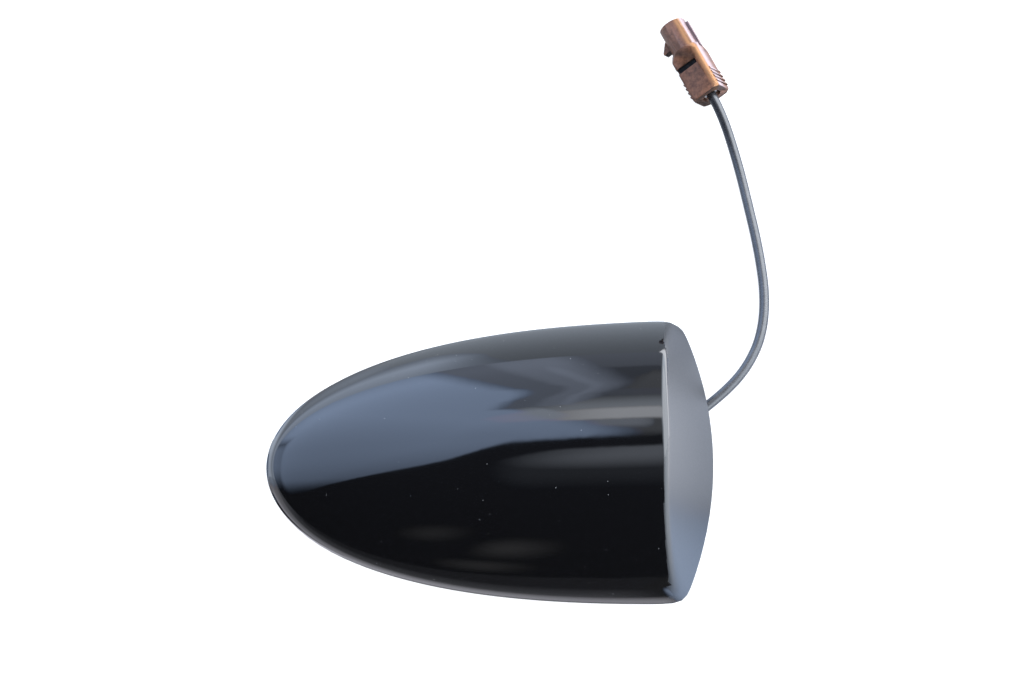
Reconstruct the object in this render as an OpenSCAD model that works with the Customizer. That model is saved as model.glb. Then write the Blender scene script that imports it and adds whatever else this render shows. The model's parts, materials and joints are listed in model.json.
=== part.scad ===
/* [Radome] */
// Length of the cover, nose to foot of the rear face
radome_len = 130; // [120:1:140]
// Width of the cover at its foot
radome_w = 83.2; // [78:0.2:90]
// Height of the rear crease above the roof
radome_h = 31; // [29:0.5:36]
// Height of the cover's upright foot at the nose, above the roof
nose_foot = 4; // [3.5:0.25:5]
// Height of the cover's upright foot at the rear, above the roof
rear_foot = 7; // [6:0.25:8]
// Inward lean of the foot from upright, in degrees
foot_lean = 7; // [3:0.5:9]
// Wall thickness of the cover
wall = 2.2; // [1.8:0.1:2.6]
// Lean of the rear face from upright, in degrees
rear_slope = 22; // [16:0.5:26]
// Depth of the arc of the rear face in plan
rear_sag = 8.9; // [5:0.1:11]
// Distance from the nose to where the sides run parallel
flank_len = 123.5; // [112:0.5:130]
// Distance from the nose to the axis of the roof bolt
nose_reach = 70; // [66:1:74]

/* [Base plate] */
// Thickness of the plate under the inner seal
flange_t = 1.5; // [1.2:0.1:2]
// Thickness of the plate inside the inner seal
plate_t = 3.5; // [3.4:0.1:4.5]
// Depth of the mounting boss below the roof line
boss_drop = 12; // [12:0.5:14]
// Length of the boss
boss_l = 28; // [27:0.5:30]
// Width of the boss
boss_w = 28; // [27:0.5:30]
// Radius of the boss's upright corners
boss_corner = 4; // [2:0.5:6]
// Radius of the tapped hole for the roof bolt
bolt_r = 2.5; // [2:0.1:3.3]
// Depth of the tapped hole
bolt_depth = 14; // [10:0.5:15]
// Height of the board's posts above the plate
post_h = 4; // [3.5:0.25:5]
// Radius of the board's posts
post_r = 2.5; // [2.2:0.1:3]

/* [Seals] */
// Thickness of the roof seal
seal_t = 1.5; // [1.2:0.1:2]
// Width of the raised ring round the boss
ring_w = 2; // [1.5:0.25:3]
// Height of the raised ring
ring_h = 0.8; // [0.4:0.1:1.2]
// Gap from the boss to the outside of the raised ring, along the antenna and across it
ring_gap_l = 17; // [14:0.5:18]
ring_gap_w = 10; // [9:0.5:11]
// Width of the inner seal
inner_seal_w = 1.6; // [1.2:0.1:2]

/* [Board] */
// Length of the circuit board
board_l = 78; // [76:1:80]
// Width of the circuit board
board_w = 48; // [46:1:50]
// Thickness of the circuit board
board_t = 1.6; // [1:0.1:2]
// Side of the square ceramic patch
patch_side = 25; // [18:0.5:27]
// Thickness of the ceramic patch
patch_t = 4; // [3:0.25:4.5]
// Thickness of the foam pad under the patch
tape_t = 0.5; // [0.3:0.1:1]
// Side of the square shield can
can_side = 20; // [16:0.5:21]
// Height of the shield can
can_h = 3.2; // [2.6:0.1:4]
// Sheet thickness of the shield can and the cable clip
sheet_t = 0.3; // [0.2:0.05:0.4]

/* [Screws] */
// Radius of the cover screws' shanks
cover_screw_r = 1.2; // [1:0.1:1.4]
// Length of the cover screws' shanks
cover_screw_l = 9; // [7:0.5:10]
// Radius of the cover screws' heads
cover_head_r = 2.7; // [2.4:0.1:2.9]
// Radius of the moulded bosses for the cover screws
cover_boss_r = 3.2; // [2.8:0.1:3.5]
// Radius of the board screws' shanks
board_screw_r = 1.05; // [0.9:0.05:1.2]
// Length of the board screws' shanks
board_screw_l = 5.5; // [4.5:0.25:6]
// Radius of the board screws' heads
board_head_r = 2.2; // [2:0.1:2.4]

/* [Cable and plug] */
// Diameter of the coax cable
cable_d = 3; // [2.6:0.1:3.2]
// Length of the plug housing
plug_l = 27; // [26:0.5:29]
// Side of the plug's square grip
plug_side = 9.5; // [9.2:0.1:10]
// Radius of the grip's corners
plug_corner = 0.8; // [0.5:0.1:1.2]
// Length of the round barrel at the plug's front
barrel_l = 10; // [9:0.5:11]
// Radius of the barrel
barrel_r = 4.3; // [4.1:0.1:4.5]
// Radius of the opening in the barrel
barrel_bore_r = 3.2; // [3:0.1:3.4]
// Number of grip ribs on each of two faces of the plug
grip_ribs = 4; // [3:1:5]

/* [Hidden] */
$fn = 48;

// Heights above the table, with the roof line at the foot of the roof seal
roof_z = boss_drop;
cover_z = roof_z + seal_t;
flange_z = cover_z + flange_t;
plate_z = cover_z + plate_t;
board_z = plate_z + post_h;
board_top = board_z + board_t;
patch_z = board_top + tape_t;

// Running room between a piece and the wall or hole that it fits
fit_gap = 0.3;
snug_gap = 0.05;
overlap = 1;

// Exponents of the cover's plan, ridge line and cross section
plan_round = 2.55;
plan_full = 0.476;
ridge_round = 2;
ridge_full = 0.68;
section_round = 2.5;
// Sharpness of the rounding along the shoulder, at the foot's rear corners and along the rear crease
shoulder_sharp = 80;
corner_sharp = 34;
crease_sharp = 70;
// Narrowest section that the crown is worked out for, at the tip of the nose
tip_w = 8;

// Half width, foot, ridge and crown of the cover at a place, moved in by an inset
function swell(u, round, full) = pow(1 - pow(max(0, 1 - u), round), full);
function half_w(x, inset) =
    x <= inset ? 0 : (radome_w / 2 - inset) * swell((x - inset) / (flank_len - inset), plan_round, plan_full);
function foot(x, inset) = nose_foot + (rear_foot - nose_foot) * x / radome_len - inset / 2;
function ridge(x, inset) =
    foot(x, inset) + (radome_h - inset - foot(x, inset))
    * swell(max(0, x - inset) / (radome_len - inset), ridge_round, ridge_full);
function crown(x, y, inset) =
    let (t = abs(y) / max(tip_w, half_w(x, inset) - foot(x, inset) * tan(foot_lean)))
    foot(x, inset) + (ridge(x, inset) - foot(x, inset)) * (1 - pow(t, section_round));

// Distance along a line from the bolt axis to the upright side, halved until it is exact
function side_reach(dir, z0, inset, near = 0, far = 110, steps = 20) =
    let (mid = (near + far) / 2, z = z0 + dir.z * mid)
    steps == 0 ? mid :
    abs(dir.y) * mid < half_w(nose_reach + dir.x * mid, inset) - z * tan(foot_lean)
    ? side_reach(dir, z0, inset, mid, far, steps - 1)
    : side_reach(dir, z0, inset, near, mid, steps - 1);
// Distance along the same line to the crown
function crown_reach(dir, z0, inset, near = 0, far = 110, steps = 20) =
    let (mid = (near + far) / 2)
    steps == 0 ? mid :
    z0 + dir.z * mid < crown(nose_reach + dir.x * mid, dir.y * mid, inset)
    ? crown_reach(dir, z0, inset, mid, far, steps - 1)
    : crown_reach(dir, z0, inset, near, mid, steps - 1);
// Distance along the same line to the leaning arc of the rear face
function rear_reach(dir, z0, inset) =
    let (lean = tan(rear_slope),
         bow = rear_sag * dir.y * dir.y / pow(radome_w / 2, 2),
         gain = dir.x + dir.z * lean,
         room = radome_len - inset / cos(rear_slope) - nose_reach - z0 * lean)
    2 * room / max(0.001, gain + sqrt(gain * gain + 4 * bow * room));
// The nearer of two surfaces, with the edge between them rounded
function blend(a, b, sharp) = a * pow(1 + pow(a / b, sharp), -1 / sharp);
function dome_reach(dir, z0, inset) =
    blend(side_reach(dir, z0, inset), crown_reach(dir, z0, inset), shoulder_sharp);
function reach(dir, z0, inset) =
    blend(dome_reach(dir, z0, inset), rear_reach(dir, z0, inset),
          corner_sharp + (crease_sharp - corner_sharp) * min(1, 2 * dir.z));
function direction(turn, tip) = [cos(turn) * sin(tip), sin(turn) * sin(tip), cos(tip)];
function skin_point(turn, tip, inset) =
    let (dir = direction(turn, tip))
    [0, 0, cover_z] + dir * reach(dir, seal_t, inset);

// Turns round the bolt axis, closer together round the rear corners and the nose
half_turns = concat([for (i = [0:7]) i * 31 / 8], [for (i = [0:7]) 31 + i * 2],
                    [for (i = [0:19]) 47 + i * 93 / 20], [for (i = [0:11]) 140 + i * 40 / 12]);
turns = concat(half_turns, [180], [for (i = [len(half_turns) - 1:-1:1]) 360 - half_turns[i]]);
// Tip of the line that meets the rear crease, or the shoulder where there is none
shoulder_tip = 82;
function crease_tip(turn, inset, low = 20, high = shoulder_tip + 4, steps = 14) =
    let (mid = (low + high) / 2, dir = direction(turn, mid))
    steps == 0 ? min(mid, shoulder_tip) :
    dome_reach(dir, seal_t, inset) < rear_reach(dir, seal_t, inset)
    ? crease_tip(turn, inset, mid, high, steps - 1)
    : crease_tip(turn, inset, low, mid, steps - 1);
// Tips of the rings on one turn: top, rounded crease, then rear face or side
crease_half = 4;
function ring_tips(knee, top_rings, crease_rings, side_rings) =
    let (start = knee - crease_half, stop = knee + crease_half)
    concat([for (i = [1:top_rings]) start * i / top_rings],
           [for (i = [1:crease_rings]) start + (stop - start) * i / crease_rings],
           [for (i = [1:side_rings]) stop + (90 - stop) * i / side_rings]);
// Rings of points from the crown down to the foot
function skin(inset, top_rings, crease_rings, side_rings) =
    let (columns = [for (turn = turns)
            [for (tip = ring_tips(crease_tip(turn, inset), top_rings, crease_rings, side_rings))
                skin_point(turn, tip, inset)]])
    [for (ring = [0:len(columns[0]) - 1]) [for (column = columns) column[ring]]];
function flat_list(rings) = [for (ring = rings) for (point = ring) point];
// Faces of a dome of rings with its crown point first, facing out or in
function dome_faces(rings, first, outward) =
    let (n = len(turns), at = function (ring, i) first + 1 + ring * n + i % n)
    concat([for (i = [0:n - 1])
               outward ? [first, at(0, i + 1), at(0, i)] : [first, at(0, i), at(0, i + 1)]],
           [for (ring = [0:rings - 2]) for (i = [0:n - 1]) outward
               ? [at(ring, i), at(ring, i + 1), at(ring + 1, i + 1), at(ring + 1, i)]
               : [at(ring, i), at(ring + 1, i), at(ring + 1, i + 1), at(ring, i + 1)]]);
// Closed dome filled down to its foot
module filled_dome(inset, top_rings, crease_rings, side_rings) {
    rings = skin(inset, top_rings, crease_rings, side_rings);
    last = 1 + (len(rings) - 1) * len(turns);
    polyhedron(points = concat([skin_point(0, 0, inset)], flat_list(rings)),
               faces = concat(dome_faces(len(rings), 0, true),
                              [[for (i = [0:len(turns) - 1]) last + i]]));
}
// Hollow dome with one wall thickness, open at its foot
module hollow_dome() {
    outer = skin(0, 16, 6, 6);
    inner = skin(wall, 8, 2, 3);
    inner_first = 1 + len(outer) * len(turns);
    foot_out = inner_first - len(turns);
    foot_in = inner_first + 1 + (len(inner) - 1) * len(turns);
    n = len(turns);
    polyhedron(points = concat([skin_point(0, 0, 0)], flat_list(outer), [skin_point(0, 0, wall)],
                               flat_list(inner)),
               faces = concat(dome_faces(len(outer), 0, true), dome_faces(len(inner), inner_first, false),
                              [for (i = [0:n - 1]) [foot_out + i, foot_out + (i + 1) % n,
                                                    foot_in + (i + 1) % n, foot_in + i]]));
}
// Outline of the cover in plan at a height above the table, moved in by an inset
module plan(z, inset) {
    polygon([for (turn = turns)
        let (dir = direction(turn, 90), away = reach(dir, z - roof_z, inset))
        [dir.x * away, dir.y * away]]);
}

// Cover screws: nose pair, waist pair and rear pair, as shares of the cover's length and half width
screw_shares = [[0.19, 0.29], [0.51, 0.67], [0.86, 0.72]];
cover_screws = [for (share = screw_shares) for (side = [-1, 1])
                [share.x * radome_len - nose_reach, side * share.y * radome_w / 2]];
// Places of the board, its posts and what it carries
board_nose_gap = 30;
board_x = board_nose_gap - nose_reach;
board_mid = board_x + board_l / 2;
post_inset = 4;
front_post_y = 8;
post_places = [[board_x + post_inset, front_post_y],
               [board_x + board_l - post_inset - 1, board_w / 2 - post_inset]];
board_posts = [for (side = [-1, 1]) for (place = post_places) [place.x, side * place.y]];
patch_x = -20;
feed_offset = 2;
feed_r = 0.45;
can_x = 26;
// Room that screw heads and shanks have in their holes
head_depth = 2;
cover_head_h = 1.7;
board_head_h = 1.5;

// Cable: it lies on the board, bends down through it and leaves the boss's wedge square to its face
cable_r = cable_d / 2;
cable_bend = 12;
outlet_y = 8.5;
outlet_x = 20;
outlet_drop = 3.5;
outlet_z = boss_drop - outlet_drop;
outlet_angle = 45;
cable_top = board_top + cable_r;
grommet_wall = 1.6;
wedge_wall = 2.9;
flange_lip = 0.8;
bore_r = cable_r + grommet_wall;
wedge_w = 2 * (bore_r + wedge_wall);
grommet_flange_r = bore_r + flange_lip;
grommet_flange_t = 1;
grommet_nose = 2.5;
// Where the cable leaves the grommet, along the outlet's axis
exit_run = grommet_flange_t + grommet_nose;
exit_x = outlet_x + exit_run * sin(outlet_angle);
exit_z = outlet_z - exit_run * cos(outlet_angle);
// Where the level cable meets the outlet's axis, and the bend between them
corner_x = outlet_x - (cable_top - outlet_z) * tan(outlet_angle);
bend_run = cable_bend * tan(outlet_angle / 2);
tail_x = -5;

// Free stretch of the cable: down to the table, under the rear edge and round to the plug
floor_z = cable_r;
route = [
    [exit_x, outlet_y, exit_z],
    [24, 8.5, exit_z + exit_x - 24], [26, 8.5, 2.9], [28.5, 8.6, 2],
    [31.5, 8.8, floor_z], [36, 9.4, floor_z], [41, 10.6, floor_z], [46, 12.4, floor_z],
    [51, 14.9, floor_z], [55.3, 17.7, floor_z], [59.4, 20.9, floor_z], [63.6, 24.6, floor_z],
    [67.5, 28.8, floor_z], [70.9, 33.9, floor_z], [73.5, 39.9, floor_z], [75, 47.2, floor_z],
    [75.3, 55.2, floor_z], [74.6, 63.5, floor_z], [73.2, 73, floor_z], [71.3, 83, floor_z],
    [69.5, 92, 1.6], [67.5, 100.3, 2.4], [65.3, 107.8, 4], [63.1, 113.6, 5.4]];

// Plug: on its edge on the table, its rear end at the route's end, its slotted face 27 degrees off level
plug_heading = 115.9;
plug_roll = 27;
plug_rear = [61.1, 117.8];
plug_axis_z = (plug_side / 2 - plug_corner) * (cos(plug_roll) + sin(plug_roll)) + plug_corner;
module at_plug() {
    translate([plug_rear.x, plug_rear.y, plug_axis_z])
        rotate([0, 90, plug_heading])
            rotate(135 - plug_roll)
                children();
}
// Places along the plug from its rear end
barrel_z = plug_l - barrel_l;
socket_depth = 6;
cable_end_z = 5;
bore_floor = 2.5;
barrel_bore_z = barrel_z + bore_floor;
contact_front = plug_l - 2;
contact_collar_z = barrel_z - 2;
lock_z = 10.1;
lock_w = 1.8;
// Radii and depths of the plug's pieces
contact_r = 2.3;
contact_wall = 0.35;
ferrule_r = 2.45;
socket_r = 2.9;
pin_r = 0.45;
lock_depth = 1.6;
lock_reach = 2.5;
// Radii that the grip's corners are turned down to at its rear and front ends
rear_turn_r = 5.7;
front_turn_r = 5;
front_turn_slope = 0.55;
// Catch, coding rib and grip ribs
catch_l = 3.3;
catch_w = 3;
catch_h = 2.1;
catch_flat = 0.5;
catch_gap = 3;
catch_z = barrel_z + catch_gap;
code_rib_w = 1.3;
code_rib_h = 0.9;
code_rib_back = 1.8;
grip_rib_w = 0.6;
grip_rib_h = 0.35;
grip_pitch = 1.55;
grip_z = 1.6;

module radome() {
    color([0.06, 0.06, 0.07])
    difference() {
        union() {
            hollow_dome();
            intersection() {
                filled_dome(wall / 2, 8, 2, 2);
                for (place = cover_screws)
                    translate([place.x, place.y, plate_z])
                        cylinder(r = cover_boss_r, h = radome_h);
            }
        }
        for (place = cover_screws)
            translate([place.x, place.y, plate_z - overlap])
                cylinder(r = cover_screw_r + snug_gap,
                         h = cover_screw_l - plate_t + head_depth + fit_gap + overlap);
    }
}

// Wedge behind the boss, its face square to the cable's way out
module wedge() {
    low_x = boss_l / 2 - 1;
    low_z = outlet_z - outlet_x + low_x;
    translate([0, outlet_y + wedge_w / 2, 0])
        rotate([90, 0, 0])
            linear_extrude(wedge_w)
                polygon([[0, low_z], [low_x, low_z], [outlet_x + cover_z - outlet_z, cover_z], [0, cover_z]]);
}
module along_outlet() {
    translate([outlet_x, outlet_y, outlet_z])
        rotate([0, 180 - outlet_angle, 0])
            children();
}
module rounded_block(length, width, height, corner) {
    linear_extrude(height)
        union() {
            square([length - 2 * corner, width], center = true);
            square([length, width - 2 * corner], center = true);
            for (x = [-1, 1], y = [-1, 1])
                translate([x * (length / 2 - corner), y * (width / 2 - corner)])
                    circle(corner);
        }
}
module cable_bore() {
    along_outlet()
        translate([0, 0, -2 * boss_l])
            cylinder(r = bore_r, h = 2 * boss_l + overlap);
}
module bolt_hole() {
    translate([0, 0, -overlap])
        cylinder(r = bolt_r, h = bolt_depth + overlap);
}
module base_plate() {
    color([0.62, 0.62, 0.64])
    difference() {
        union() {
            translate([0, 0, cover_z])
                linear_extrude(flange_t)
                    plan(flange_z, wall + fit_gap);
            translate([0, 0, cover_z])
                linear_extrude(plate_t)
                    plan(plate_z, wall + fit_gap + inner_seal_w);
            for (place = board_posts)
                translate([place.x, place.y, cover_z + overlap])
                    cylinder(r = post_r, h = board_z - cover_z - overlap);
        }
        bolt_hole();
        cable_bore();
        for (place = board_posts)
            translate([place.x, place.y, board_z + board_t - board_screw_l - fit_gap])
                cylinder(r = board_screw_r + snug_gap, h = board_screw_l);
        for (place = cover_screws)
            translate([place.x, place.y, cover_z - overlap]) {
                cylinder(r = cover_head_r + fit_gap, h = head_depth + overlap);
                cylinder(r = cover_screw_r + fit_gap, h = plate_t + 2 * overlap);
            }
    }
}

// Boss under the plate, through the hole in the roof
module roof_boss() {
    color([0.62, 0.62, 0.64])
    difference() {
        union() {
            rounded_block(boss_l, boss_w, cover_z, boss_corner);
            wedge();
        }
        bolt_hole();
        cable_bore();
    }
}

module roof_seal() {
    ring_l = boss_l + 2 * ring_gap_l;
    ring_across = boss_w + 2 * ring_gap_w;
    ring_corner = boss_corner + 0.6 * ring_gap_w;
    color([0.1, 0.1, 0.1])
    difference() {
        union() {
            translate([0, 0, roof_z])
                linear_extrude(seal_t)
                    plan(cover_z, 0);
            translate([0, 0, roof_z - ring_h])
                difference() {
                    rounded_block(ring_l, ring_across, ring_h + overlap, ring_corner);
                    translate([0, 0, -overlap])
                        rounded_block(ring_l - 2 * ring_w, ring_across - 2 * ring_w,
                                      ring_h + 3 * overlap, ring_corner - ring_w);
                }
        }
        translate([0, 0, roof_z - overlap]) {
            rounded_block(boss_l + 2 * fit_gap, boss_w + 2 * fit_gap, seal_t + 2 * overlap, boss_corner);
            translate([0, outlet_y - wedge_w / 2 - fit_gap, 0])
                cube([outlet_x + cover_z - outlet_z + fit_gap, wedge_w + 2 * fit_gap, seal_t + 2 * overlap]);
        }
    }
}

module inner_seal() {
    color([0.16, 0.16, 0.17])
    translate([0, 0, flange_z])
        difference() {
            linear_extrude(plate_t - flange_t)
                plan(plate_z, wall + snug_gap);
            translate([0, 0, -overlap])
                linear_extrude(plate_t)
                    plan(plate_z, wall + fit_gap + inner_seal_w);
        }
}

module circuit_board() {
    front_w = 30;
    taper_x = 16;
    slot_x = corner_x - bend_run;
    slot_l = 11;
    slot_gap = 0.7;
    color([0.1, 0.3, 0.16])
    translate([0, 0, board_z])
        difference() {
            linear_extrude(board_t)
                polygon([[board_x, -front_w / 2], [board_x + taper_x, -board_w / 2],
                         [board_x + board_l, -board_w / 2], [board_x + board_l, board_w / 2],
                         [board_x + taper_x, board_w / 2], [board_x, front_w / 2]]);
            for (place = board_posts)
                translate([place.x, place.y, -overlap])
                    cylinder(r = board_screw_r + fit_gap, h = board_t + 2 * overlap);
            translate([slot_x, outlet_y - cable_r - slot_gap, -overlap])
                cube([slot_l, cable_d + 2 * slot_gap, board_t + 2 * overlap]);
            translate([patch_x + feed_offset, 0, -overlap])
                cylinder(r = feed_r + snug_gap, h = board_t + 2 * overlap);
        }
}

module ceramic_patch() {
    notch = 1.5;
    half = patch_side / 2;
    color([0.82, 0.8, 0.72])
    translate([patch_x, 0, patch_z])
        difference() {
            linear_extrude(patch_t)
                polygon([[-half + notch, -half], [half, -half], [half, half - notch], [half - notch, half],
                         [-half, half], [-half, -half + notch]]);
            translate([feed_offset, 0, -overlap])
                cylinder(r = feed_r + snug_gap, h = patch_t + 2 * overlap);
        }
}
module patch_tape() {
    color([0.9, 0.88, 0.8])
    translate([patch_x, 0, board_top])
        difference() {
            linear_extrude(tape_t)
                square(patch_side - 1, center = true);
            translate([feed_offset, 0, -overlap])
                cylinder(r = 1, h = tape_t + 2 * overlap);
        }
}
module feed_pin() {
    pin_head_r = 1.1;
    pin_head_h = 0.4;
    pin_tail = 1;
    color([0.8, 0.7, 0.4])
    translate([patch_x + feed_offset, 0, board_z - pin_tail]) {
        cylinder(r = feed_r, h = patch_z + patch_t - board_z + pin_tail);
        translate([0, 0, patch_z + patch_t - board_z + pin_tail])
            cylinder(r = pin_head_r, h = pin_head_h);
    }
}

module shield_can() {
    vent_r = 0.7;
    vent_pitch = 4;
    color([0.75, 0.75, 0.77])
    translate([can_x, 0, board_top])
        difference() {
            translate([-can_side / 2, -can_side / 2, 0])
                cube([can_side, can_side, can_h]);
            translate([-can_side / 2 + sheet_t, -can_side / 2 + sheet_t, -overlap])
                cube([can_side - 2 * sheet_t, can_side - 2 * sheet_t, can_h - sheet_t + overlap]);
            for (x = [-1:1], y = [-1:1])
                translate([x * vent_pitch, y * vent_pitch, can_h - sheet_t - overlap])
                    cylinder(r = vent_r, h = sheet_t + 2 * overlap);
            for (turn = [0:90:270])
                rotate(turn)
                    translate([can_side / 2 - sheet_t - overlap, -1.5, -overlap])
                        cube([sheet_t + 2 * overlap, 3, overlap + 0.6]);
        }
}
module chip(x, y, length, width, height) {
    translate([x - length / 2, y - width / 2, board_top])
        cube([length, width, height]);
}
module board_components() {
    color([0.25, 0.2, 0.17]) {
        chip(can_x, -can_side * 0.2, 3, 3, 1.1);
        chip(can_x - can_side * 0.2, can_side * 0.15, 2, 2, 0.8);
        chip(can_x + can_side * 0.2, can_side * 0.15, 2.9, 1.6, 1.1);
        for (i = [-2:2])
            chip(can_x + i * can_side * 0.13, -can_side * 0.4, 1, 0.5, 0.5);
        for (side = [-1, 1]) {
            for (i = [-2:1])
                chip(can_x + i * can_side * 0.15, side * can_side * 0.68, 2, 1.25, 0.8);
            chip(-1, side * board_w * 0.35, 3.2, 2.5, 1.9);
        }
    }
}

// Folded clamp with two feet, soldered to the board over the cable
module cable_clip() {
    clip_l = 4;
    foot_w = 2;
    ring_r = cable_r + snug_gap;
    color([0.78, 0.76, 0.7])
    translate([tail_x + 1, outlet_y, board_top])
        difference() {
            union() {
                translate([0, 0, cable_r])
                    rotate([0, 90, 0])
                        cylinder(r = ring_r + sheet_t, h = clip_l);
                translate([0, -ring_r - sheet_t, 0])
                    cube([clip_l, 2 * (ring_r + sheet_t), cable_r]);
                translate([0, -ring_r - foot_w, 0])
                    cube([clip_l, 2 * (ring_r + foot_w), sheet_t]);
            }
            translate([-overlap, 0, cable_r])
                rotate([0, 90, 0])
                    cylinder(r = ring_r, h = clip_l + 2 * overlap);
            translate([-overlap, -ring_r, -overlap])
                cube([clip_l + 2 * overlap, 2 * ring_r, cable_r + overlap]);
        }
}

// Pan head screw with a hexalobe-like socket, its head's underside at the origin
module pan_screw(shank_r, shank_l, head_r, head_h) {
    tip = shank_r * 0.6;
    difference() {
        rotate_extrude()
            polygon([[0, head_h], [head_r * 0.6, head_h], [head_r * 0.92, head_h * 0.72],
                     [head_r, head_h * 0.35], [head_r, 0], [shank_r, 0], [shank_r, tip - shank_l],
                     [shank_r - tip, -shank_l], [0, -shank_l]]);
        for (turn = [0:60:120])
            translate([0, 0, head_h * 0.4])
                rotate(turn)
                    translate([-head_r * 0.42, -head_r * 0.13, 0])
                        cube([head_r * 0.84, head_r * 0.26, head_h]);
    }
}
module board_screws() {
    color([0.7, 0.7, 0.72])
    for (place = board_posts)
        translate([place.x, place.y, board_top])
            pan_screw(board_screw_r, board_screw_l, board_head_r, board_head_h);
}
module radome_screws() {
    color([0.7, 0.7, 0.72])
    for (place = cover_screws)
        translate([place.x, place.y, cover_z + head_depth])
            rotate([180, 0, 0])
                pan_screw(cover_screw_r, cover_screw_l, cover_head_r, cover_head_h);
}

module coax_tail() {
    joint = 0.5;
    level_l = corner_x - bend_run - tail_x + joint;
    slant_l = (cable_top - exit_z) / cos(outlet_angle) - bend_run + joint;
    color([0.15, 0.15, 0.16])
    translate([0, outlet_y, cable_top]) {
        translate([tail_x, 0, 0])
            rotate([0, 90, 0])
                cylinder(r = cable_r, h = level_l);
        translate([tail_x - 3, 0, 0])
            rotate([0, 90, 0])
                cylinder(r = cable_r / 3, h = 3);
        translate([corner_x - bend_run, 0, -cable_bend])
            rotate([90, 0, 0])
                rotate(90 - outlet_angle)
                    rotate_extrude(angle = outlet_angle)
                        translate([cable_bend, 0])
                            circle(cable_r + snug_gap);
    }
    color([0.15, 0.15, 0.16])
    translate([exit_x, outlet_y, exit_z])
        rotate([0, 180 - outlet_angle, 0])
            translate([0, 0, -slant_l])
                cylinder(r = cable_r, h = slant_l);
}

module cable_grommet() {
    sleeve_l = 8;
    color([0.12, 0.12, 0.12])
    along_outlet()
        rotate_extrude()
            polygon([[cable_r + snug_gap, -sleeve_l], [bore_r - snug_gap, -sleeve_l],
                     [bore_r - snug_gap, 0], [grommet_flange_r, 0], [grommet_flange_r, grommet_flange_t],
                     [bore_r - 0.3, grommet_flange_t], [cable_r + 0.7, exit_run],
                     [cable_r + snug_gap, exit_run]]);
}

// Smooth curve through the route's points
function bend_point(a, b, c, d, t) =
    0.5 * (2 * b + (c - a) * t + (2 * a - 5 * b + 4 * c - d) * t * t + (3 * b - 3 * c + d - a) * t * t * t);
route_end = [plug_rear.x, plug_rear.y, plug_axis_z];
plug_way = [cos(plug_heading), sin(plug_heading), 0];
route_full = concat(route, [route_end, route_end + cable_end_z * plug_way]);
route_last = len(route_full) - 1;
function route_at(i) =
    i < 0 ? 2 * route_full[0] - route_full[1] :
    i > route_last ? 2 * route_full[route_last] - route_full[route_last - 1] : route_full[i];
cable_path = concat([for (i = [0:route_last - 1]) for (t = [0, 0.5])
                        bend_point(route_at(i - 1), route_at(i), route_at(i + 1), route_at(i + 2), t)],
                    [route_full[route_last]]);
function unit(v) = v / norm(v);
module swept_tube(path, radius, sides) {
    last = len(path) - 1;
    rings = [for (i = [0:last])
        let (along = unit(path[min(i + 1, last)] - path[max(i - 1, 0)]),
             across = unit(cross(along, [0, 0, 1])),
             up = cross(across, along))
        [for (k = [0:sides - 1]) let (turn = 360 * (k + 0.5) / sides)
            path[i] + radius * (cos(turn) * across + sin(turn) * up)]];
    polyhedron(points = flat_list(rings),
               faces = concat([[for (k = [sides - 1:-1:0]) k]],
                              [[for (k = [0:sides - 1]) last * sides + k]],
                              [for (i = [0:last - 1]) for (k = [0:sides - 1])
                                  [i * sides + k, i * sides + (k + 1) % sides,
                                   (i + 1) * sides + (k + 1) % sides, (i + 1) * sides + k]]));
}
module coax_lead() {
    color([0.2, 0.2, 0.22])
    swept_tube(cable_path, cable_r, 8);
}

// Square grip with its front and rear corners turned down
module plug_grip() {
    intersection() {
        rotate(45)
            rounded_block(plug_side, plug_side, barrel_z, plug_corner);
        rotate_extrude()
            polygon([[0, 0], [rear_turn_r, 0], [plug_side, plug_side - rear_turn_r],
                     [plug_side, barrel_z - (plug_side - front_turn_r) / front_turn_slope],
                     [front_turn_r, barrel_z], [0, barrel_z]]);
    }
}
module plug_housing() {
    color([0.45, 0.3, 0.24])
    at_plug()
        difference() {
            union() {
                plug_grip();
                translate([0, 0, barrel_z - overlap])
                    cylinder(r = barrel_r, h = barrel_l + overlap);
                rotate(135)
                    translate([barrel_bore_r + fit_gap, -code_rib_w / 2, barrel_z - overlap])
                        cube([barrel_r + code_rib_h - barrel_bore_r - fit_gap, code_rib_w,
                              barrel_l - code_rib_back + overlap]);
                rotate(-45)
                    translate([0, catch_w / 2, catch_z])
                        rotate([90, 0, 0])
                            linear_extrude(catch_w)
                                polygon([[barrel_bore_r + fit_gap, 0], [barrel_r + catch_h, 0],
                                         [barrel_r + catch_h, catch_flat],
                                         [barrel_r, catch_l], [barrel_bore_r + fit_gap, catch_l]]);
                for (turn = [135, -45], i = [0:grip_ribs - 1])
                    rotate(turn)
                        translate([plug_side / 2 - overlap, plug_corner - plug_side / 2,
                                   grip_z + i * grip_pitch])
                            cube([overlap + grip_rib_h, plug_side - 2 * plug_corner, grip_rib_w]);
            }
            translate([0, 0, barrel_bore_z])
                cylinder(r = barrel_bore_r, h = plug_l);
            translate([0, 0, -overlap])
                cylinder(r = socket_r, h = socket_depth + overlap);
            cylinder(r = contact_r + fit_gap, h = plug_l);
            rotate(45)
                translate([plug_side / 2 - lock_depth, -plug_side, lock_z])
                    cube([plug_side, plug_side + lock_reach, lock_w]);
        }
}
// Locking slide in the housing's slot, with two raised stops at its end
module plug_lock() {
    stop_w = 0.8;
    stop_places = [-1.4, 1.2];
    color([0.08, 0.08, 0.08])
    at_plug()
        rotate(45)
            translate([plug_side / 2 - lock_depth, 0, lock_z + snug_gap]) {
                translate([0, plug_corner - plug_side / 2, 0])
                    cube([lock_depth - 0.5, plug_side / 2 - plug_corner + lock_reach - snug_gap,
                          lock_w - 2 * snug_gap]);
                for (y = stop_places)
                    translate([0, y, 0])
                        cube([lock_depth - 0.1, stop_w, lock_w / 2]);
            }
}
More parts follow.
